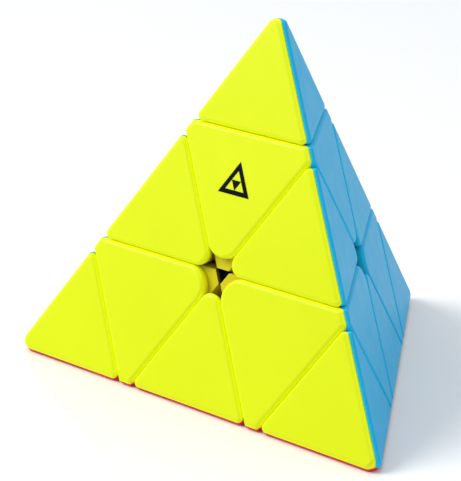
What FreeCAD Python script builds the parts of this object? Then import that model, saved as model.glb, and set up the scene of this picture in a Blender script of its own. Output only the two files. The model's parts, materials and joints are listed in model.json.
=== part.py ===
import FreeCAD, Part
import math
import os
import Sketcher
from FreeCAD import Matrix, Placement, Rotation, Vector

# Pyramid twisty puzzle: four tips, four axial pieces and six edge pieces that
# turn about a four-armed core. Units are millimetres, +Z is up through the top
# tip, and the origin is the centre of the core, where all the axes cross.
# Every turning surface is either a plane square to a corner axis or part of a
# sphere centred on the core, so each corner can turn through any angle.

doc = FreeCAD.newDocument("pyramid_puzzle")

# ---------------------------------------------------------------- dimensions
DIMENSIONS = [
    ("edge_length", 103.6, "sharp edge of the pyramid, before rounding"),
    ("edge_round", 1.6, "radius along the outer edges"),
    ("seam_round", 0.25, "radius of a shell at the outer edge seam"),
    ("apex_round", 2.7, "radius at the end of a tip"),
    ("tip_height", 36.04, "tip cut plane, from the core centre"),
    ("layer_height", 7.325, "layer cut plane, from the core centre"),
    ("half_gap", 0.06, "half of the groove between two pieces"),
    ("block_inset", 0.1, "inner block, behind the shell wall"),
    ("wall", 1.5, "shell wall"),
    ("shell_depth", 5.0, "how far the shells reach below a face"),
    ("rim_round", 0.9, "radius along a facelet rim"),
    ("corner_round", 1.4, "plan radius of a facelet corner"),
    ("neck_round", 1.9, "plan radius of an axial corner at an outer edge"),
    ("edge_hole_round", 3.2, "plan radius of an edge piece at a face centre"),
    ("axial_hole_round", 4.1, "plan radius of an axial piece at a face centre"),
    ("cap_depth", 2.4, "thickness of the cut back lid of an axial piece"),
    ("cap_round", 5.8, "plan radius of the axial lid at its lower side"),
    ("step_inset", 0.3, "axial shell walls, behind the lid above them"),
    ("step_round", 0.5, "plan radius of the axial shell point below the lid"),
    ("deep_round", 1.0, "plan radius of a corner at the shell's lower end"),
    ("inner_round", 0.6, "plan radius of a small corner inside a shell"),
    ("inner_hole_round", 2.2, "plan radius of an edge shell's point, inside"),
    ("inner_cap_round", 3.4, "plan radius of an axial shell's point, inside"),
    ("inner_deep_round", 4.0, "the same at the shell's lower end"),
    ("tip_depth", 9.4, "depth of the block inside a tip"),
    ("axial_depth", 16.8, "depth of the block inside an axial piece"),
    ("edge_depth", 13.9, "depth of the block inside an edge piece"),
    ("trim_reach", 20.0, "how far the mitre trims reach outward"),
    ("core_ball", 7.5, "radius of the core ball"),
    ("arm_radius", 3.0, "radius of a core arm"),
    ("arm_height", 11.4, "end of a core arm"),
    ("foot_inner", 8.0, "inside of the edge feet"),
    ("foot_outer", 11.5, "outside of the edge feet"),
    ("skirt_inner", 11.8, "inside of the axial skirts"),
    ("skirt_outer", 15.1, "outside of the axial skirts"),
    ("outer_start", 15.4, "where the pieces widen outside the skirts"),
    ("neck_outer", 16.3, "outer end of the edge necks"),
    ("foot_plane", 4.3, "lowest height of a turning layer's feet"),
    ("skirt_plane", 5.7, "lowest height of a turning layer's skirt"),
    ("clear_plane", 5.3, "highest point of the parts that stay"),
    ("bore_radius", 3.2, "axial bore, for spring, screw head and stem"),
    ("stem_radius", 3.13, "tip stem"),
    ("stem_end", 25.0, "inner end of a tip stem"),
    ("screw_radius", 1.5, "axle screw shank"),
    ("screw_hole", 1.65, "screw hole in an axial"),
    ("screw_start", 3.6, "inner end of a screw"),
    ("head_base", 21.0, "underside of a screw head"),
    ("head_radius", 2.8, "screw head"),
    ("head_height", 2.0, "screw head"),
    ("slot_width", 0.7, "drive slot of a screw head"),
    ("slot_depth", 1.1, "drive slot of a screw head"),
    ("washer_thickness", 0.5, "spring washer"),
    ("coil_radius", 2.3, "middle of the spring wire"),
    ("wire_radius", 0.3, "spring wire"),
    ("coil_pitch", 1.2, "spring coil"),
]

sizes = doc.addObject("Spreadsheet::Sheet", "Sizes")
D = {}
for row, (alias, value, note) in enumerate(DIMENSIONS, start=1):
    sizes.set("A%d" % row, note)
    sizes.set("B%d" % row, str(value))
    sizes.setAlias("B%d" % row, alias)
    D[alias] = value
doc.recompute()

# ------------------------------------------------------------ the tetrahedron
COS_TILT = math.sqrt(8) / 3          # of a corner axis above the next face
SLOPE = 1 / math.sqrt(8)             # groove wall, sideways per unit of depth
FACE_RATIO = 1 / math.sqrt(24)       # core centre to a face, per edge length
SIDE_RATIO = 1 / math.sqrt(12)       # face centre to its side, per edge length
MITRE = math.atan(math.sqrt(0.5))    # half of the angle between two faces
TAPER = math.degrees(math.atan(SLOPE))
RIDGE = 1 / math.sin(MITRE) - 1      # loss at a rounded outer edge, per radius

FACE_DIST = "Sizes.edge_length * %.8f" % FACE_RATIO
SIDE_DIST = "Sizes.edge_length * %.8f" % SIDE_RATIO

AXES = {
    "top": Vector(0, 0, 1),
    "left": Vector(-math.sqrt(2 / 3), -math.sqrt(2) / 3, -1 / 3),
    "right": Vector(math.sqrt(2 / 3), -math.sqrt(2) / 3, -1 / 3),
    "rear": Vector(0, 2 * math.sqrt(2) / 3, -1 / 3),
}
# each face is named with the corner it does not touch
FACES = {"front": "rear", "side": "left", "back": "right", "base": "top"}
EDGES = [
    ("top", "left"),
    ("top", "right"),
    ("top", "rear"),
    ("left", "right"),
    ("right", "rear"),
    ("rear", "left"),
]


def bind(thing, path, expression):
    thing.setExpression(path, expression)


def bind_height(thing, direction, distance):
    """Place a thing at a distance along a direction from the core centre."""
    for axis, part in zip("xyz", direction):
        bind(thing, "Placement.Base." + axis, "(%s) * %.8f" % (distance, part))


def turn_to(z_axis, x_hint):
    """Rotation whose Z is z_axis and whose X leans towards x_hint."""
    z = Vector(z_axis).normalize()
    x = (x_hint - z * x_hint.dot(z)).normalize()
    y = z.cross(x)
    rows = Matrix(x.x, y.x, z.x, 0, x.y, y.y, z.y, 0, x.z, y.z, z.z, 0, 0, 0, 0, 1)
    return Rotation(rows)


def put_on_face(thing, face, corner):
    """Origin at the face centre, Z outward, Y towards the corner."""
    normal = AXES[FACES[face]] * -1
    thing.Placement = Placement(Vector(), turn_to(normal, AXES[corner].cross(normal)))
    bind_height(thing, normal, FACE_DIST)


def put_on_axis(thing, corner, distance="0", partner=None):
    """Z along the corner axis, at a distance from the core centre.

    X points away from the partner, so that no seam line lies near it.
    """
    if partner is None:
        partner = [name for name in AXES if name != corner][0]
    thing.Placement = Placement(Vector(), turn_to(AXES[corner], AXES[partner] * -1))
    bind_height(thing, AXES[corner], distance)


def plane(body, role):
    return [f for f in body.Origin.OriginFeatures if f.Role == role][0]


def new_sketch(body, name, role, offset=None):
    sketch = body.newObject("Sketcher::SketchObject", name)
    sketch.AttachmentSupport = [(plane(body, role), "")]
    sketch.MapMode = "FlatFace"
    if offset:
        bind(sketch, "AttachmentOffset.Base.z", offset)
    return sketch


def closed_lines(sketch, points):
    for i, start in enumerate(points):
        end = points[(i + 1) % len(points)]
        sketch.addGeometry(Part.LineSegment(Vector(*start, 0), Vector(*end, 0)), False)
    for i in range(len(points)):
        sketch.addConstraint(Sketcher.Constraint("Coincident", i, 2, (i + 1) % len(points), 1))


def fix_point(sketch, line, end, x, y, x_rule, y_rule):
    """Hold a point at (x, y) from the sketch origin, each bound to a rule."""
    for kind, value, rule in (("DistanceX", x, x_rule), ("DistanceY", y, y_rule)):
        index = sketch.addConstraint(Sketcher.Constraint(kind, -1, 1, line, end, value))
        if rule:
            bind(sketch, "Constraints[%d]" % index, rule)


# ------------------------------------------------------------ facelet outlines
def groove_line(height, depth):
    """Where a cut plane crosses a face-parallel plane at this depth."""
    return "(%s - (%s - (%s)) / 3) / %.8f" % (height, FACE_DIST, depth, COS_TILT)


def outline_rules(kind, depth, inset):
    """Base and point of the triangle of a piece, at a depth below its face."""
    seam = "(%s - Sizes.edge_round * %.8f)" % (SIDE_DIST, RIDGE * math.cos(MITRE))
    gap = "(Sizes.half_gap + %s)" % inset
    if kind == "tip":
        base = groove_line("(Sizes.tip_height + %s)" % gap, depth)
        return base, "2 * " + seam
    if kind == "axial":
        base = groove_line("(Sizes.tip_height - %s)" % gap, depth)
        return base, "-2 * " + groove_line("(Sizes.layer_height - %s)" % gap, depth)
    return "-" + seam, "-2 * " + groove_line("(Sizes.layer_height + %s)" % gap, depth)


def value_of(rule):
    """A rule worked out with the present dimensions, for the first solve."""
    text = rule
    for alias in sorted(D, key=len, reverse=True):
        text = text.replace("Sizes." + alias, repr(D[alias]))
    numbers = FreeCAD.Units.parseQuantity(text)
    return float(numbers)


def triangle_sketch(body, name, kind, depth, inset):
    """Equilateral outline, its base along X and its point on the Y axis."""
    base_rule, point_rule = outline_rules(kind, depth, inset)
    base, point = value_of(base_rule), value_of(point_rule)
    half = abs(point - base) / math.sqrt(3)
    sketch = new_sketch(body, name, "XY_Plane", "-(%s)" % depth)
    closed_lines(sketch, [(-half, base), (half, base), (0, point)])
    width = "abs((%s) - (%s)) * %.8f" % (point_rule, base_rule, 1 / math.sqrt(3))
    fix_point(sketch, 0, 1, -half, base, "-" + width, base_rule)
    fix_point(sketch, 1, 1, half, base, width, base_rule)
    sketch.addConstraint(Sketcher.Constraint("PointOnObject", 2, 1, -2))
    index = sketch.addConstraint(Sketcher.Constraint("DistanceY", -1, 1, 2, 1, point))
    bind(sketch, "Constraints[%d]" % index, point_rule)
    return sketch


def rounded_sketch(body, name, kind, depth, inset, point_round, base_round):
    """The outline of a piece with its three corners rounded."""
    base_rule, point_rule = outline_rules(kind, depth, inset)
    base, point = value_of(base_rule), value_of(point_rule)
    small, large = value_of(base_round), value_of(point_round)
    root = math.sqrt(3)
    way = 1 if point > base else -1
    half = abs(point - base) / root
    reach = half - root * small
    corners = [Vector(-way * half, base, 0), Vector(way * half, base, 0), Vector(0, point, 0)]
    radii = [small, small, large]
    centres = [
        Vector(-way * reach, base + way * small, 0),
        Vector(way * reach, base + way * small, 0),
        Vector(0, point - 2 * way * large, 0),
    ]
    reach_rule = "(abs((%s) - (%s)) * %.8f - (%s) * %.8f)" \
        % (point_rule, base_rule, 1 / root, base_round, root)
    height_rule = "%s + (%s) * %d" % (base_rule, base_round, way)
    rules = [
        ("%d * %s" % (-way, reach_rule), height_rule, base_round),
        ("%d * %s" % (way, reach_rule), height_rule, base_round),
        (None, "%s - (%s) * %d" % (point_rule, point_round, 2 * way), point_round),
    ]
    sketch = new_sketch(body, name, "XY_Plane", "-(%s)" % depth)
    # geometry 0 to 2: the sides, each from its corner to the next one
    for i in range(3):
        along = (corners[(i + 1) % 3] - corners[i]).normalize()
        start = corners[i] + along * (root * radii[i])
        end = corners[(i + 1) % 3] - along * (root * radii[(i + 1) % 3])
        sketch.addGeometry(Part.LineSegment(start, end), False)
    # geometry 3 to 5: the corner arcs, a third of a turn each
    for i in range(3):
        along = (corners[i] - corners[(i + 2) % 3]).normalize()
        first = math.atan2(along.y, along.x) - math.pi / 2
        circle = Part.Circle(centres[i], Vector(0, 0, 1), radii[i])
        sketch.addGeometry(Part.ArcOfCircle(circle, first, first + math.pi * 2 / 3), False)
    for i in range(3):
        sketch.addConstraint(Sketcher.Constraint("Tangent", 3 + i, 2, i, 1))
        sketch.addConstraint(Sketcher.Constraint("Tangent", i, 2, 3 + (i + 1) % 3, 1))
    for i, (x_rule, y_rule, radius_rule) in enumerate(rules):
        if x_rule:
            index = sketch.addConstraint(Sketcher.Constraint("DistanceX", -1, 1, 3 + i, 3, centres[i].x))
            bind(sketch, "Constraints[%d]" % index, x_rule)
        else:
            sketch.addConstraint(Sketcher.Constraint("PointOnObject", 3 + i, 3, -2))
        index = sketch.addConstraint(Sketcher.Constraint("DistanceY", -1, 1, 3 + i, 3, centres[i].y))
        bind(sketch, "Constraints[%d]" % index, y_rule)
        index = sketch.addConstraint(Sketcher.Constraint("Radius", 3 + i, radii[i]))
        bind(sketch, "Constraints[%d]" % index, radius_rule)
    return sketch


def mitre_trim(body, rounded):
    """Cut a block back to its own side of the three mitre planes of its face."""
    side = D["edge_length"] * SIDE_RATIO
    face = D["edge_length"] * FACE_RATIO
    reach = D["trim_reach"]
    far_rule = "-(%s) - Sizes.trim_reach" % SIDE_DIST
    low_rule = "-(%s)" % FACE_DIST
    sketch = new_sketch(body, body.Name + "_mitre", "YZ_Plane")
    if rounded:
        radius = D["edge_round"]
        small = D["seam_round"]
        top = -side + radius / math.tan(MITRE)
        top_rule = "-(%s) + Sizes.edge_round * %.8f" % (SIDE_DIST, 1 / math.tan(MITRE))
        # the seam corner is rounded where the large radius meets the mitre plane
        swing = math.asin(small / (radius - small))
        mitre_way = math.pi - MITRE
        centre = Vector(top, -radius, 0)
        small_centre = centre + Vector(math.cos(mitre_way - swing), math.sin(mitre_way - swing), 0) \
            * (radius - small)
        touch = centre + Vector(math.cos(mitre_way), math.sin(mitre_way), 0) \
            * ((radius - small) * math.cos(swing))
        points = [(top, 0), (top, 2), (-side - reach, 2), (-side - reach, -face), (0, -face),
                  (touch.x, touch.y)]
        for start, end in zip(points, points[1:]):
            sketch.addGeometry(Part.LineSegment(Vector(*start, 0), Vector(*end, 0)), False)
        circle = Part.Circle(centre, Vector(0, 0, 1), radius)
        sketch.addGeometry(Part.ArcOfCircle(circle, math.pi / 2, mitre_way - swing), False)
        circle = Part.Circle(small_centre, Vector(0, 0, 1), small)
        sketch.addGeometry(Part.ArcOfCircle(circle, mitre_way - swing, mitre_way + math.pi / 2), False)
        for i in range(4):
            sketch.addConstraint(Sketcher.Constraint("Coincident", i, 2, i + 1, 1))
        sketch.addConstraint(Sketcher.Constraint("Coincident", 5, 1, 0, 1))
        sketch.addConstraint(Sketcher.Constraint("Tangent", 5, 2, 6, 1))
        sketch.addConstraint(Sketcher.Constraint("Tangent", 6, 2, 4, 2))
        fix_point(sketch, 1, 1, top, 2, top_rule, None)
        fix_point(sketch, 2, 1, -side - reach, 2, far_rule, None)
        fix_point(sketch, 3, 1, -side - reach, -face, far_rule, low_rule)
        fix_point(sketch, 5, 3, top, -radius, top_rule, "-Sizes.edge_round")
        sketch.addConstraint(Sketcher.Constraint("PointOnObject", 0, 1, -1))
        sketch.addConstraint(Sketcher.Constraint("Vertical", 0))
        sketch.addConstraint(Sketcher.Constraint("PointOnObject", 5, 3, 4))
        index = sketch.addConstraint(Sketcher.Constraint("Radius", 6, small))
        bind(sketch, "Constraints[%d]" % index, "Sizes.seam_round")
        last = 4
    else:
        points = [(-side, 0), (-side - reach, 0), (-side - reach, -face), (0, -face)]
        closed_lines(sketch, points)
        sketch.addConstraint(Sketcher.Constraint("PointOnObject", 0, 1, -1))
        sketch.addConstraint(Sketcher.Constraint("PointOnObject", 1, 1, -1))
        index = sketch.addConstraint(Sketcher.Constraint("DistanceX", -1, 1, 0, 1, -side))
        bind(sketch, "Constraints[%d]" % index, "-(%s)" % SIDE_DIST)
        index = sketch.addConstraint(Sketcher.Constraint("DistanceX", -1, 1, 1, 1, -side - reach))
        bind(sketch, "Constraints[%d]" % index, far_rule)
        fix_point(sketch, 2, 1, -side - reach, -face, far_rule, low_rule)
        last = 3
    sketch.addConstraint(Sketcher.Constraint("PointOnObject", last, 1, -2))
    index = sketch.addConstraint(Sketcher.Constraint("DistanceY", -1, 1, last, 1, -face))
    bind(sketch, "Constraints[%d]" % index, low_rule)
    pocket = body.newObject("PartDesign::Pocket", body.Name + "_trim")
    pocket.Profile = sketch
    pocket.SideType = "Symmetric"
    bind(pocket, "Length", "Sizes.edge_length * 4")
    doc.recompute()
    pattern = body.newObject("PartDesign::PolarPattern", body.Name + "_trims")
    pattern.Originals = [pocket]
    pattern.Axis = (plane(body, "Z_Axis"), [""])
    pattern.Angle = 360
    pattern.Occurrences = 3
    body.Tip = pattern
    doc.recompute()


def layer_trim(body):
    """Cut an axial block off at the cut plane of its own layer."""
    side = D["edge_length"] * SIDE_RATIO
    face = D["edge_length"] * FACE_RATIO
    height = "(Sizes.layer_height + Sizes.half_gap)"
    upper_rule, lower_rule = groove_line(height, "0"), groove_line(height, FACE_DIST)
    upper, lower = value_of(upper_rule), value_of(lower_rule)
    sketch = new_sketch(body, body.Name + "_layer", "YZ_Plane")
    closed_lines(sketch, [(upper, 0), (-side, 0), (-side, -face), (lower, -face)])
    sketch.addConstraint(Sketcher.Constraint("PointOnObject", 0, 1, -1))
    sketch.addConstraint(Sketcher.Constraint("PointOnObject", 1, 1, -1))
    for line, value, rule in ((0, upper, upper_rule), (1, -side, "-(%s)" % SIDE_DIST)):
        index = sketch.addConstraint(Sketcher.Constraint("DistanceX", -1, 1, line, 1, value))
        bind(sketch, "Constraints[%d]" % index, rule)
    fix_point(sketch, 2, 1, -side, -face, "-(%s)" % SIDE_DIST, "-(%s)" % FACE_DIST)
    fix_point(sketch, 3, 1, lower, -face, lower_rule, "-(%s)" % FACE_DIST)
    pocket = body.newObject("PartDesign::Pocket", body.Name + "_layer_trim")
    pocket.Profile = sketch
    pocket.SideType = "Symmetric"
    bind(pocket, "Length", "Sizes.edge_length * 4")
    doc.recompute()


def add_pad(body, name, kind, depth, inset, length):
    """Pad a facelet outline downward, its walls along the groove planes."""
    pad = body.newObject("PartDesign::Pad", body.Name + name)
    pad.Profile = triangle_sketch(body, body.Name + name + "_outline", kind, depth, inset)
    pad.Reversed = True
    pad.TaperAngle = TAPER if kind == "axial" else -TAPER
    bind(pad, "Length", length)
    doc.recompute()
    return pad


def add_loft(body, name, kind, feature, top, bottom):
    """Join two rounded outlines, each given as depth, inset and two radii."""
    loft = body.newObject("PartDesign::" + feature, body.Name + name)
    loft.Profile = rounded_sketch(body, body.Name + name + "_upper", kind, *top)
    loft.Sections = [rounded_sketch(body, body.Name + name + "_lower", kind, *bottom)]
    loft.Ruled = True
    doc.recompute()
    return loft


# radii of the point and the base corners at the face
TOP_ROUND = {
    "tip": ("Sizes.deep_round", "Sizes.corner_round"),
    "axial": ("Sizes.axial_hole_round", "Sizes.neck_round"),
    "edge": ("Sizes.edge_hole_round", "Sizes.corner_round"),
}
# lower side of the lid: depth, and the same two radii
LID_END = {
    "tip": ("Sizes.shell_depth", "Sizes.deep_round", "Sizes.deep_round"),
    "axial": ("Sizes.cap_depth", "Sizes.cap_round", "Sizes.neck_round"),
    "edge": ("Sizes.shell_depth", "Sizes.deep_round", "Sizes.deep_round"),
}
# radius of the point inside a shell, under the lid and at the lower end
INNER_POINT = {
    "tip": ("Sizes.inner_round", "Sizes.inner_round"),
    "axial": ("Sizes.inner_cap_round", "Sizes.inner_deep_round"),
    "edge": ("Sizes.inner_hole_round", "Sizes.inner_round"),
}


def inner_outlines(kind):
    """The seat inside a shell, from under its lid to its lower end."""
    upper_round, lower_round = INNER_POINT[kind]
    return (
        ("Sizes.wall", "Sizes.wall", upper_round, "Sizes.inner_round"),
        ("Sizes.shell_depth", "Sizes.wall", lower_round, "Sizes.inner_round"))


def make_shell(name, kind, face, corner):
    """Coloured shell: a rounded triangular lid with walls along the grooves.

    The point of an axial lid is cut back further than the walls below it.
    """
    body = doc.addObject("PartDesign::Body", name)
    put_on_face(body, face, corner)
    lid_depth, point_round, base_round = LID_END[kind]
    lid = add_loft(body, "_lid", kind, "AdditiveLoft",
                   ("0", "0", *TOP_ROUND[kind]),
                   (lid_depth, "0", point_round, base_round))
    rim = []
    for number, edge in enumerate(lid.Shape.Edges, start=1):
        if abs(edge.BoundBox.ZMin) < 1e-4 and edge.BoundBox.ZLength < 1e-4:
            rim.append("Edge%d" % number)
    fillet = body.newObject("PartDesign::Fillet", name + "_rim")
    fillet.Base = (lid, rim)
    bind(fillet, "Radius", "Sizes.rim_round")
    doc.recompute()
    if kind == "axial":
        add_loft(body, "_step", kind, "AdditiveLoft",
                 (lid_depth, "Sizes.step_inset", "Sizes.step_round", "Sizes.neck_round"),
                 ("Sizes.shell_depth", "Sizes.step_inset", "Sizes.step_round", "Sizes.deep_round"))
    add_loft(body, "_hollow", kind, "SubtractiveLoft", *inner_outlines(kind))
    if kind == "axial":
        layer_trim(body)
    mitre_trim(body, True)
    return body


def make_block(name, kind, face, corner):
    """Inner block under a shell: a seat inside the lid and a wider base."""
    body = doc.addObject("PartDesign::Body", name)
    put_on_face(body, face, corner)
    add_loft(body, "_seat", kind, "AdditiveLoft", *inner_outlines(kind))
    add_pad(body, "_base", kind, "Sizes.shell_depth", "Sizes.block_inset",
            "Sizes.%s_depth - Sizes.shell_depth" % kind)
    if kind == "axial":
        layer_trim(body)
    mitre_trim(body, False)
    return body


# ------------------------------------------------------- round working surfaces
def make_ball(name, radius, pole=Vector(0, 0, 1), seam=Vector(1, 0, 0)):
    """Ball about the core centre, with its pole and seam where no cut runs."""
    ball = doc.addObject("Part::Sphere", name)
    ball.Placement = Placement(Vector(), turn_to(pole, seam))
    bind(ball, "Radius", radius)
    bind_height(ball, Vector(0, 0, 0), "0")
    return ball


def make_slab(name, corner, low):
    """Everything beyond a height along a corner axis."""
    slab = doc.addObject("Part::Cylinder", name)
    put_on_axis(slab, corner, low)
    bind(slab, "Radius", "Sizes.edge_length / 2")
    bind(slab, "Height", "Sizes.edge_length / 2")
    return slab


def make_rod(name, corner, radius, low, high):
    rod = doc.addObject("Part::Cylinder", name)
    put_on_axis(rod, corner, low)
    bind(rod, "Radius", radius)
    bind(rod, "Height", "%s - %s" % (high, low))
    return rod


def fuse(name, shapes):
    joined = doc.addObject("Part::MultiFuse", name)
    joined.Shapes = shapes
    return joined


def common(name, shapes):
    shared = doc.addObject("Part::MultiCommon", name)
    shared.Shapes = shapes
    return shared


def cut(name, base, tools):
    for number, tool in enumerate(tools, start=1):
        rest = doc.addObject("Part::Cut", name if number == len(tools) else "%s_%d" % (name, number))
        rest.Base = base
        rest.Tool = tool
        base = rest
    return rest


def make_lens(name, first, second, level, inner, outer):
    """Part of a spherical layer beyond a height along two corner axes."""
    across = AXES[second] - AXES[first]
    behind = (AXES[first] + AXES[second]) * -1
    solid = common(name + "_solid", [
        make_ball(name + "_outside", outer, across, behind),
        make_slab(name + "_slab_" + first, first, level),
        make_slab(name + "_slab_" + second, second, level)])
    return cut(name, solid, [make_ball(name + "_inside", inner, across, behind)])


def make_dish(name, corner, level, inner, outer):
    """Part of a spherical layer beyond a height along one corner axis only."""
    others = [other for other in AXES if other != corner]
    seam = AXES[others[0]] * -1
    solid = common(name + "_solid", [
        make_ball(name + "_outside", outer, AXES[corner], seam),
        make_slab(name + "_slab", corner, level)])
    hollow = [make_ball(name + "_inside", inner, AXES[corner], seam)]
    return cut(name, solid, hollow + [
        make_slab(name + "_free_" + other, other, "Sizes.clear_plane") for other in others])


def make_apex_cutter(corner):
    """What is left over beyond the ball at the end of a tip."""
    centre = ("Sizes.edge_length * %.8f - (Sizes.apex_round + Sizes.edge_round * %.8f) * %.8f"
              % (FACE_RATIO * 3, RIDGE, 1 / math.sin(MITRE)))
    cone = doc.addObject("Part::Cone", "apex_cone_" + corner)
    put_on_axis(cone, corner, centre)
    cone.Radius1 = 0
    bind(cone, "Height", "Sizes.apex_round * 4")
    bind(cone, "Radius2", "Sizes.apex_round * 4 * %.8f" % (1 / math.tan(MITRE)))
    ball = doc.addObject("Part::Sphere", "apex_ball_" + corner)
    put_on_axis(ball, corner, centre)
    bind(ball, "Radius", "Sizes.apex_round")
    return cut("apex_" + corner, cone, [ball])


nodes = []


def finish_node(thing, name):
    thing.Label = name
    nodes.append((name, thing))


def faces_of(*corners):
    return [face for face in FACES if FACES[face] not in corners]


# -------------------------------------------------------------------- the core
arms = [make_rod("arm_" + c, c, "Sizes.arm_radius", "0", "Sizes.arm_height") for c in AXES]
pilots = [
    make_rod("pilot_" + c, c, "Sizes.screw_radius", "Sizes.screw_start", "Sizes.arm_height + 1")
    for c in AXES
]
solid = fuse("core_solid", [make_ball("core_ball_solid", "Sizes.core_ball")] + arms)
spider = cut("core_spider", solid, pilots)
finish_node(spider, "core_spider")


def make_screw(corner):
    shank = make_rod("shank_" + corner, corner, "Sizes.screw_radius",
                     "Sizes.screw_start", "Sizes.head_base")
    head = make_rod("head_" + corner, corner, "Sizes.head_radius", "Sizes.head_base",
                    "(Sizes.head_base + Sizes.head_height)")
    slots = []
    cross = (("slot_width", "head_radius"), ("head_radius", "slot_width"))
    for number, (wide, long) in enumerate(cross):
        slot = doc.addObject("Part::Box", "slot_%s_%d" % (corner, number))
        bind(slot, "Length", "Sizes." + wide)
        bind(slot, "Width", "Sizes." + long)
        bind(slot, "Height", "Sizes.slot_depth + 1")
        put_on_axis(slot, corner, "Sizes.head_base + Sizes.head_height - Sizes.slot_depth")
        turn = slot.Placement.Rotation
        across, along = turn.multVec(Vector(1, 0, 0)), turn.multVec(Vector(0, 1, 0))
        for axis in "xyz":
            bind(slot, "Placement.Base." + axis,
                 "(Sizes.head_base + Sizes.head_height - Sizes.slot_depth) * %.8f"
                 " - Sizes.%s * %.8f - Sizes.%s * %.8f"
                 % (getattr(AXES[corner], axis), wide, getattr(across, axis) / 2,
                    long, getattr(along, axis) / 2))
        slots.append(slot)
    return cut("screw_" + corner, fuse("screw_blank_" + corner, [shank, head]), slots)


def make_washer(corner):
    disc = make_rod("disc_" + corner, corner, "Sizes.head_radius",
                    "(Sizes.head_base - Sizes.washer_thickness)", "Sizes.head_base")
    hole = make_rod("disc_hole_" + corner, corner, "Sizes.screw_hole",
                    "Sizes.skirt_outer", "Sizes.head_base + 1")
    return cut("washer_" + corner, disc, [hole])


def make_spring(corner):
    body = doc.addObject("PartDesign::Body", "spring_" + corner)
    put_on_axis(body, corner, "Sizes.skirt_outer + Sizes.wire_radius + 0.02")
    sketch = new_sketch(body, "spring_wire_" + corner, "XZ_Plane")
    circle = Part.Circle(Vector(D["coil_radius"], 0, 0), Vector(0, 0, 1), D["wire_radius"])
    sketch.addGeometry(circle, False)
    sketch.addConstraint(Sketcher.Constraint("PointOnObject", 0, 3, -1))
    reach = sketch.addConstraint(Sketcher.Constraint("DistanceX", -1, 1, 0, 3, D["coil_radius"]))
    bind(sketch, "Constraints[%d]" % reach, "Sizes.coil_radius")
    wire = sketch.addConstraint(Sketcher.Constraint("Radius", 0, D["wire_radius"]))
    bind(sketch, "Constraints[%d]" % wire, "Sizes.wire_radius")
    doc.recompute()
    coil = body.newObject("PartDesign::AdditiveHelix", "spring_coil_" + corner)
    coil.Profile = sketch
    coil.ReferenceAxis = (sketch, ["V_Axis"])
    coil.Mode = "pitch-height-angle"
    bind(coil, "Pitch", "Sizes.coil_pitch")
    bind(coil, "Height", "Sizes.head_base - Sizes.washer_thickness - Sizes.skirt_outer"
         " - Sizes.wire_radius * 2 - 0.04")
    doc.recompute()
    return body


FASTENERS = {
    "axle_screws": make_screw,
    "spring_washers": make_washer,
    "tension_springs": make_spring,
}
for label, maker in FASTENERS.items():
    group = doc.addObject("Part::Compound", label)
    group.Links = [maker(corner) for corner in AXES]
    finish_node(group, label)

# -------------------------------------------------------- tips and axial pieces
for corner in AXES:
    others = [name for name in AXES if name != corner]
    around = [face for face in FACES if FACES[face] != corner]
    apex = make_apex_cutter(corner)
    for face in around:
        name = "%s_axial_%s" % (corner, face)
        finish_node(make_shell(name, "axial", face, corner), name)
        name = "%s_tip_%s" % (corner, face)
        shell = make_shell(name + "_shell", "tip", face, corner)
        finish_node(cut(name, shell, [apex]), name)

    blocks = [make_block("tip_block_%s_%s" % (corner, face), "tip", face, corner) for face in around]
    stem = make_rod("stem_" + corner, corner, "Sizes.stem_radius", "Sizes.stem_end",
                    "(Sizes.tip_height + 3)")
    name = corner + "_tip_stem"
    finish_node(fuse(name, blocks + [stem]), name)

    blocks = [make_block("axial_block_%s_%s" % (corner, face), "axial", face, corner) for face in around]
    body = cut("axial_body_" + corner, fuse("axial_blocks_" + corner, blocks), [
        make_ball("axial_clear_" + corner, "Sizes.outer_start", AXES[corner], AXES[others[0]] * -1)])
    skirt = make_dish("skirt_" + corner, corner, "Sizes.skirt_plane",
                      "Sizes.skirt_inner", "Sizes.skirt_outer")
    collar = make_dish("collar_" + corner, corner, "Sizes.layer_height + Sizes.half_gap",
                       "Sizes.skirt_outer - 0.1", "Sizes.outer_start + 0.2")
    bores = [
        make_rod("bore_" + corner, corner, "Sizes.bore_radius", "Sizes.skirt_outer", "Sizes.tip_height"),
        make_rod("hole_" + corner, corner, "Sizes.screw_hole", "Sizes.foot_outer", "Sizes.tip_height"),
    ]
    name = corner + "_axial_hub"
    finish_node(cut(name, fuse("hub_solid_" + corner, [body, skirt, collar]), bores), name)

# ----------------------------------------------------------------- edge pieces
for first, second in EDGES:
    pair = first + "_" + second
    sides = []
    blocks = []
    for face in FACES:
        if FACES[face] in (first, second):
            continue
        opposite = [name for name in AXES if name not in (first, second, FACES[face])][0]
        name = "%s_edge_%s" % (pair, face)
        finish_node(make_shell(name, "edge", face, opposite), name)
        blocks.append(make_block("edge_block_%s_%s" % (pair, face), "edge", face, opposite))
    body = cut("edge_body_" + pair, fuse("edge_blocks_" + pair, blocks), [
        make_ball("edge_clear_" + pair, "Sizes.outer_start", AXES[second] - AXES[first],
                  (AXES[first] + AXES[second]) * -1)])
    parts = [
        body,
        make_lens("foot_" + pair, first, second, "Sizes.foot_plane",
                  "Sizes.foot_inner", "Sizes.foot_outer"),
        make_lens("hook_" + pair, first, second, "Sizes.skirt_plane",
                  "Sizes.foot_outer - 0.1", "Sizes.skirt_outer"),
        make_lens("neck_" + pair, first, second, "Sizes.layer_height + Sizes.half_gap",
                  "Sizes.skirt_outer - 0.1", "Sizes.neck_outer")]
    name = pair + "_edge_foot"
    finish_node(fuse(name, parts), name)

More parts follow.
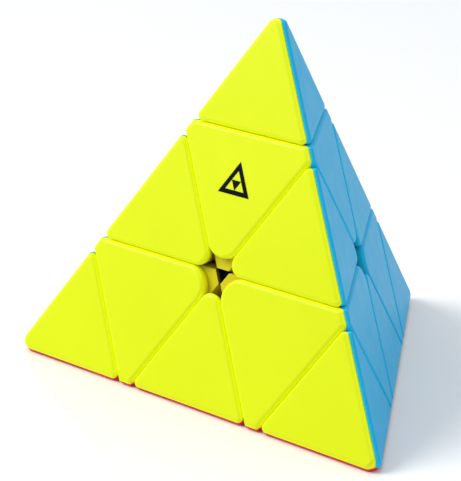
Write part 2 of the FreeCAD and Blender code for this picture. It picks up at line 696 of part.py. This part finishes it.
# ----------------------------------------------------------- check and write
doc.recompute()
for thing in doc.Objects:
    if "Invalid" in thing.State or "Error" in thing.State:
        raise RuntimeError("%s is in state %s" % (thing.Name, thing.State))
os.makedirs("parts", exist_ok=True)
for name, thing in nodes:
    shape = thing.Shape
    if shape.isNull() or not shape.isValid():
        raise RuntimeError("%s has no valid shape" % name)
    shape.exportStep("parts/%s.step" % name)
    print("%-28s %8.1f mm3 %d solid(s)" % (name, shape.Volume, len(shape.Solids)))
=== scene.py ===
import json
import math

import bpy
from mathutils import Matrix, Vector


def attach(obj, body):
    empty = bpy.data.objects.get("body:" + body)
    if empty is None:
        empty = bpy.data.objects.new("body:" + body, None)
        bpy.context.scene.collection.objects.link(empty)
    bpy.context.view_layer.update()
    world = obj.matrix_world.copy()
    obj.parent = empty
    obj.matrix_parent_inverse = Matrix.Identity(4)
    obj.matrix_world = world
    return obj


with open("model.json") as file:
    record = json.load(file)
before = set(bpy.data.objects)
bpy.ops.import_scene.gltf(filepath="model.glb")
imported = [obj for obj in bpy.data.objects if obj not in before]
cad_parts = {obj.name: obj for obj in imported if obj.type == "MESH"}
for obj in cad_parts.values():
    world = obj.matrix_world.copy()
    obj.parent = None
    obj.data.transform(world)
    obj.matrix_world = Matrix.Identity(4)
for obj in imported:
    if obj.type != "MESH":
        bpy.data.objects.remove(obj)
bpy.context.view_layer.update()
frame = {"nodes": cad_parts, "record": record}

# ------------------------------------------------------------------ dimensions
EDGE = 0.1036                        # sharp edge of the pyramid
HEIGHT = EDGE * math.sqrt(2 / 3)
FACE_DIST = HEIGHT / 4               # core centre to each face

THIRD = 1 / 3
ACROSS = math.sqrt(2 / 3)
ALONG = math.sqrt(2) / 3
# outward direction of each face; the puzzle stands on the base
FACE_NORMAL = {
    "front": Vector((0, -2 * ALONG, THIRD)),
    "side": Vector((ACROSS, ALONG, THIRD)),
    "back": Vector((-ACROSS, ALONG, THIRD)),
    "base": Vector((0, 0, -1)),
}

# depth below its own face where a shell turns to its painted rim light (a lighter tone on the rounded
# rims) and then to its painted shade (a darker, browner tone deep in holes and grooves)
PAINTED_RIM_LIGHT_START, PAINTED_RIM_LIGHT_END = 0.0001, 0.0006
PAINTED_SHADE_START, PAINTED_SHADE_END = 0.0012, 0.0027

MARK_AT = (-0.0001, 0.0198)          # from the face centre, across and up
MARK_SIZE = 0.0084                   # side of the triangle
MARK_LINE = 0.0010
MARK_DOT = MARK_SIZE * 0.3           # side of the small solid triangle
MARK_THICK = 0.00002

FLOOR_REACH = 4.0
FLOOR_GAP = 0.00005
FLOOR_Z = -FACE_DIST - FLOOR_GAP

LIGHT_AT = Vector((-0.9, -0.9, 1.08))
LIGHT_SIZE = 1.0
LIGHT_POWER = 23
SKY_COLOUR = (0.95, 0.98, 1.0, 1)
SKY_STRENGTH = 0.79

CAMERA_AT = Vector((0.241963, -0.324253, 0.154751))
CAMERA_TURN = Vector((1.183742, 0.392363, 0.597687))    # axis times angle, from looking down
CAMERA_LENS = 145.742                # mm, on a sensor of 36 mm
CAMERA_SENSOR = 36


# ------------------------------------------------------------------- materials
def new_material(name):
    mat = bpy.data.materials.new(name)
    mat.use_nodes = True
    tree = mat.node_tree
    return mat, tree, tree.nodes["Principled BSDF"]


def noise(tree, scale, detail=2.0, roughness=0.5):
    coords = tree.nodes.new("ShaderNodeTexCoord")
    node = tree.nodes.new("ShaderNodeTexNoise")
    node.inputs["Scale"].default_value = scale
    node.inputs["Detail"].default_value = detail
    node.inputs["Roughness"].default_value = roughness
    tree.links.new(coords.outputs["Object"], node.inputs["Vector"])
    return node.outputs["Fac"]


def spread(tree, value, low, high):
    """Stretch the middle of a noise over the range low to high."""
    node = tree.nodes.new("ShaderNodeMapRange")
    node.inputs["From Min"].default_value = 0.3
    node.inputs["From Max"].default_value = 0.7
    node.inputs["To Min"].default_value = low
    node.inputs["To Max"].default_value = high
    tree.links.new(value, node.inputs["Value"])
    return node.outputs["Result"]


def blend_colours(tree, fac, first, second):
    node = tree.nodes.new("ShaderNodeMix")
    node.data_type = "RGBA"
    node.inputs[6].default_value = (*first, 1)
    node.inputs[7].default_value = (*second, 1)
    tree.links.new(fac, node.inputs[0])
    return node.outputs[2]


def add_bump(tree, bsdf, scale, strength, distance):
    bump = tree.nodes.new("ShaderNodeBump")
    bump.inputs["Strength"].default_value = strength
    bump.inputs["Distance"].default_value = distance
    tree.links.new(noise(tree, scale), bump.inputs["Height"])
    tree.links.new(bump.outputs["Normal"], bsdf.inputs["Normal"])


def moulded_plastic(name, colour, second, rough, texture=0.12):
    """Injection moulded plastic: faint flow tone, uneven gloss and a fine surface."""
    mat, tree, bsdf = new_material(name)
    tone = spread(tree, noise(tree, 45, 3.0), 0.0, 1.0)
    tree.links.new(blend_colours(tree, tone, colour, second), bsdf.inputs["Base Color"])
    tree.links.new(spread(tree, noise(tree, 220, 4.0, 0.6), *rough), bsdf.inputs["Roughness"])
    add_bump(tree, bsdf, 2600, texture, 0.00003)
    bsdf.inputs["IOR"].default_value = 1.5
    return mat, bsdf


def plated_steel(name, colour, rough):
    mat, tree, bsdf = new_material(name)
    tone = spread(tree, noise(tree, 300, 3.0), 0.0, 1.0)
    darker = tuple(c * 0.8 for c in colour)
    tree.links.new(blend_colours(tree, tone, colour, darker), bsdf.inputs["Base Color"])
    tree.links.new(spread(tree, noise(tree, 900, 3.0), *rough), bsdf.inputs["Roughness"])
    add_bump(tree, bsdf, 3000, 0.2, 0.00002)
    bsdf.inputs["Metallic"].default_value = 1.0
    return mat


def shell_plastic(name, normal, face, painted_rim_light, painted_deep_shade, specular):
    """Stickerless shell plastic, a little translucent, with painted light on the rims and painted
    shade, a duller darker tone, deep in the holes.
    """
    mat, bsdf = moulded_plastic(name, face, tuple(c * 0.975 for c in face), (0.30, 0.38))
    tree = mat.node_tree
    coords = tree.nodes.new("ShaderNodeTexCoord")
    height = tree.nodes.new("ShaderNodeVectorMath")
    height.operation = "DOT_PRODUCT"
    height.inputs[1].default_value = normal
    tree.links.new(coords.outputs["Object"], height.inputs[0])
    colour = bsdf.inputs["Base Color"].links[0].from_socket
    # mix by depth below the face: painted rim light on the rounded rims, then painted shade deeper in
    # the holes and grooves
    for start, end, painted_tone in ((PAINTED_RIM_LIGHT_START, PAINTED_RIM_LIGHT_END, painted_rim_light), (PAINTED_SHADE_START, PAINTED_SHADE_END, painted_deep_shade)):
        share = tree.nodes.new("ShaderNodeMapRange")
        share.inputs["From Min"].default_value = FACE_DIST - start
        share.inputs["From Max"].default_value = FACE_DIST - end
        tree.links.new(height.outputs["Value"], share.inputs["Value"])
        node = tree.nodes.new("ShaderNodeMix")
        node.data_type = "RGBA"
        node.inputs[7].default_value = (*painted_tone, 1)
        tree.links.new(share.outputs["Result"], node.inputs[0])
        tree.links.new(colour, node.inputs[6])
        colour = node.outputs[2]
    tree.links.new(colour, bsdf.inputs["Base Color"])
    bsdf.inputs["Specular IOR Level"].default_value = specular
    bsdf.inputs["Subsurface Weight"].default_value = 0.35
    bsdf.inputs["Subsurface Radius"].default_value = (1.0, 1.0, 0.4)
    bsdf.inputs["Subsurface Scale"].default_value = 0.0015
    return mat


SHELLS = {
    # face, face colour, painted rim light colour (lighter than the face, a touch darker on red),
    # painted shade colour for holes and grooves, specular
    # the rim colours are painted light on the rims: lighter on yellow, blue and green, a touch darker
    # on red
    "yellow": ("front", (0.610, 0.695, 0.003), (0.90, 0.98, 0.006), (0.44, 0.33, 0.002), 0.17),
    "blue": ("side", (0.010, 0.43, 0.78), (0.018, 0.52, 0.78), (0.004, 0.22, 0.36), 0.06),
    "green": ("back", (0.015, 0.50, 0.09), (0.018, 0.56, 0.10), (0.008, 0.22, 0.04), 0.12),
    "red": ("base", (0.70, 0.012, 0.02), (0.66, 0.010, 0.018), (0.38, 0.008, 0.010), 0.12),
}
INNER_BLACK = (0.012, 0.022, 0.014), (0.009, 0.017, 0.011)
NYLON_WHITE = (0.78, 0.78, 0.75), (0.72, 0.72, 0.69)
INK_BLACK = (0.005, 0.006, 0.006), (0.004, 0.005, 0.005)
PAPER_WHITE = (0.90, 0.90, 0.90), (0.89, 0.89, 0.895)

materials = {
    "inner_plastic": moulded_plastic("black_inner", *INNER_BLACK, (0.45, 0.6), 0.3)[0],
    "core_plastic": moulded_plastic("white_nylon", *NYLON_WHITE, (0.4, 0.55), 0.3)[0],
    "screw_steel": plated_steel("plated_steel", (0.62, 0.61, 0.58), (0.22, 0.35)),
    "spring_steel": plated_steel("spring_steel", (0.42, 0.42, 0.43), (0.28, 0.42)),
}
for colour_name, (face, *tones) in SHELLS.items():
    materials[colour_name + "_shell"] = shell_plastic(
        colour_name + "_abs", FACE_NORMAL[face], *tones)

slot_of = {part["node"]: part["material_slot"] for part in frame["record"]["subparts"]}
for name, node in frame["nodes"].items():
    node.data.materials.clear()
    node.data.materials.append(materials[slot_of[name]])


# ---------------------------------------------------------------- printed mark
def face_point(face, x, y, out):
    """A point above a face, x across and y up from the face's centre."""
    normal = FACE_NORMAL[face]
    up = (Vector((0, 0, 1)) - normal * normal.z).normalized()
    across = up.cross(normal)
    return normal * (FACE_DIST + out) + across * x + up * y


def mark_corners(side, out, turned=False):
    """Corners of an upright or turned triangle about the mark's centre."""
    reach = side / math.sqrt(3)
    start = -math.pi / 2 if turned else math.pi / 2
    angles = [start + i * math.tau / 3 for i in range(3)]
    return [face_point("front", MARK_AT[0] + reach * math.cos(a), MARK_AT[1] + reach * math.sin(a), out)
            for a in angles]


def band(first, second):
    """Three quads between two triangles, each given by its first vertex."""
    return [(first + i, first + (i + 1) % 3, second + (i + 1) % 3, second + i) for i in range(3)]


def printed_mark():
    """A plain pyramid sign: a triangle outline with a small solid one inside."""
    inner_side = MARK_SIZE - 2 * math.sqrt(3) * MARK_LINE
    verts = []
    for out in (-MARK_THICK, MARK_THICK):
        verts += mark_corners(MARK_SIZE, out) + mark_corners(inner_side, out)
    for out in (-MARK_THICK, MARK_THICK):
        verts += mark_corners(MARK_DOT, out, turned=True)
    outer_low, inner_low, outer_top, inner_top, dot_low, dot_top = range(0, 18, 3)
    faces = band(outer_top, inner_top) + band(inner_low, outer_low)
    faces += band(outer_low, outer_top) + band(inner_top, inner_low) + band(dot_low, dot_top)
    faces += [(dot_low + 2, dot_low + 1, dot_low), (dot_top, dot_top + 1, dot_top + 2)]
    mesh = bpy.data.meshes.new("printed_mark")
    mesh.from_pydata(verts, [], faces)
    mesh.validate()
    obj = bpy.data.objects.new("printed_mark", mesh)
    bpy.context.scene.collection.objects.link(obj)
    return obj


mark = printed_mark()
ink, ink_bsdf = moulded_plastic("printed_ink", *INK_BLACK, (0.45, 0.6), 0.1)
ink_bsdf.inputs["Specular IOR Level"].default_value = 0.02
mark.data.materials.append(ink)
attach(mark, "axial_top")


# ------------------------------------------------------------ floor and lights
def paper_floor():
    corners = [(x * FLOOR_REACH, y * FLOOR_REACH, 0) for x, y in ((-1, -1), (1, -1), (1, 1), (-1, 1))]
    mesh = bpy.data.meshes.new("floor")
    mesh.from_pydata(corners, [], [(0, 1, 2, 3)])
    obj = bpy.data.objects.new("floor", mesh)
    bpy.context.scene.collection.objects.link(obj)
    obj.location.z = FLOOR_Z
    mat, tree, bsdf = new_material("floor_paper")
    tone = spread(tree, noise(tree, 30, 3.0), 0.0, 1.0)
    tree.links.new(blend_colours(tree, tone, *PAPER_WHITE), bsdf.inputs["Base Color"])
    bsdf.inputs["Roughness"].default_value = 0.15
    bsdf.inputs["IOR"].default_value = 1.55
    mesh.materials.append(mat)
    return obj


paper_floor()

world = bpy.data.worlds.new("studio")
bpy.context.scene.world = world
world.use_nodes = True
background = world.node_tree.nodes["Background"]
background.inputs["Color"].default_value = SKY_COLOUR
background.inputs["Strength"].default_value = SKY_STRENGTH

key_data = bpy.data.lights.new("key", "AREA")
key_data.shape = "DISK"
key_data.size = LIGHT_SIZE
key_data.energy = LIGHT_POWER
key = bpy.data.objects.new("key", key_data)
key.location = LIGHT_AT
key.rotation_euler = (-LIGHT_AT).to_track_quat("-Z", "Y").to_euler()
bpy.context.scene.collection.objects.link(key)

# --------------------------------------------------------------------- camera
camera_data = bpy.data.cameras.new("camera")
camera_data.sensor_width = CAMERA_SENSOR
camera_data.lens = CAMERA_LENS
camera_data.clip_start = 0.01
camera = bpy.data.objects.new("camera", camera_data)
bpy.context.scene.collection.objects.link(camera)
camera_rotation = Matrix.Rotation(CAMERA_TURN.length, 4, CAMERA_TURN.normalized())
camera.matrix_world = Matrix.Translation(CAMERA_AT) @ camera_rotation
bpy.context.scene.camera = camera
bpy.context.scene.view_settings.view_transform = "Standard"
